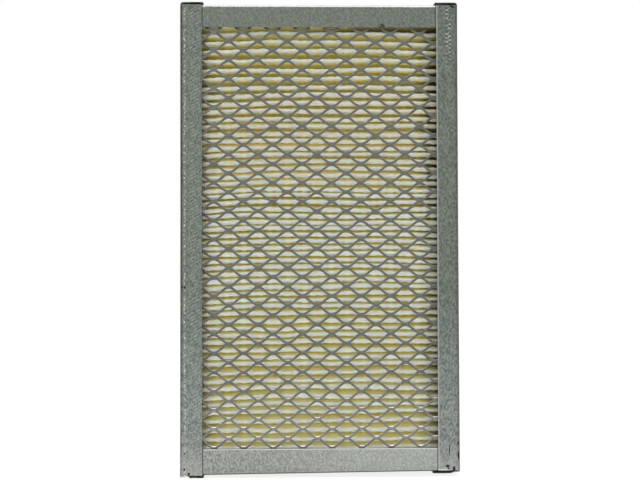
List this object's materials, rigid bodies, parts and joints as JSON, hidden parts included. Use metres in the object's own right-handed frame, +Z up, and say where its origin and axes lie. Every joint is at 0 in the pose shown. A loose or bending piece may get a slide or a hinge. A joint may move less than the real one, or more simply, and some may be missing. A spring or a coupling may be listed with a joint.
{
  "type": "cabin air filter",
  "caption": "Flat panel air filter: folded paper held between two sheets of raised expanded metal in a folded galvanised steel frame with end tabs.",
  "frame": {"origin": "middle of the footprint, on the surface that the panel stands on, under its two bottom tabs", "axes": "+Z up the panel's long side, +X across it to the right as seen from the front, -Y out of the front face"},
  "size_m": [0.18, 0.044, 0.3078],
  "materials": {
    "galvanised_frame": "galvanised, dull, with spangle and handling marks",
    "expanded_metal": "galvanised, dull",
    "filter_paper": "cream, fibrous",
    "adhesive": "cast bead, satin"
  },
  "bodies": {
    "root": {"left_side_channel": "galvanised_frame", "right_side_channel": "galvanised_frame", "bottom_end_rail": "galvanised_frame", "top_end_rail": "galvanised_frame", "front_grille": "expanded_metal", "back_grille": "expanded_metal", "pleated_pack": "filter_paper", "left_adhesive_bead": "adhesive", "right_adhesive_bead": "adhesive", "bottom_adhesive_bead": "adhesive", "top_adhesive_bead": "adhesive"}
  },
  "joints": []
}
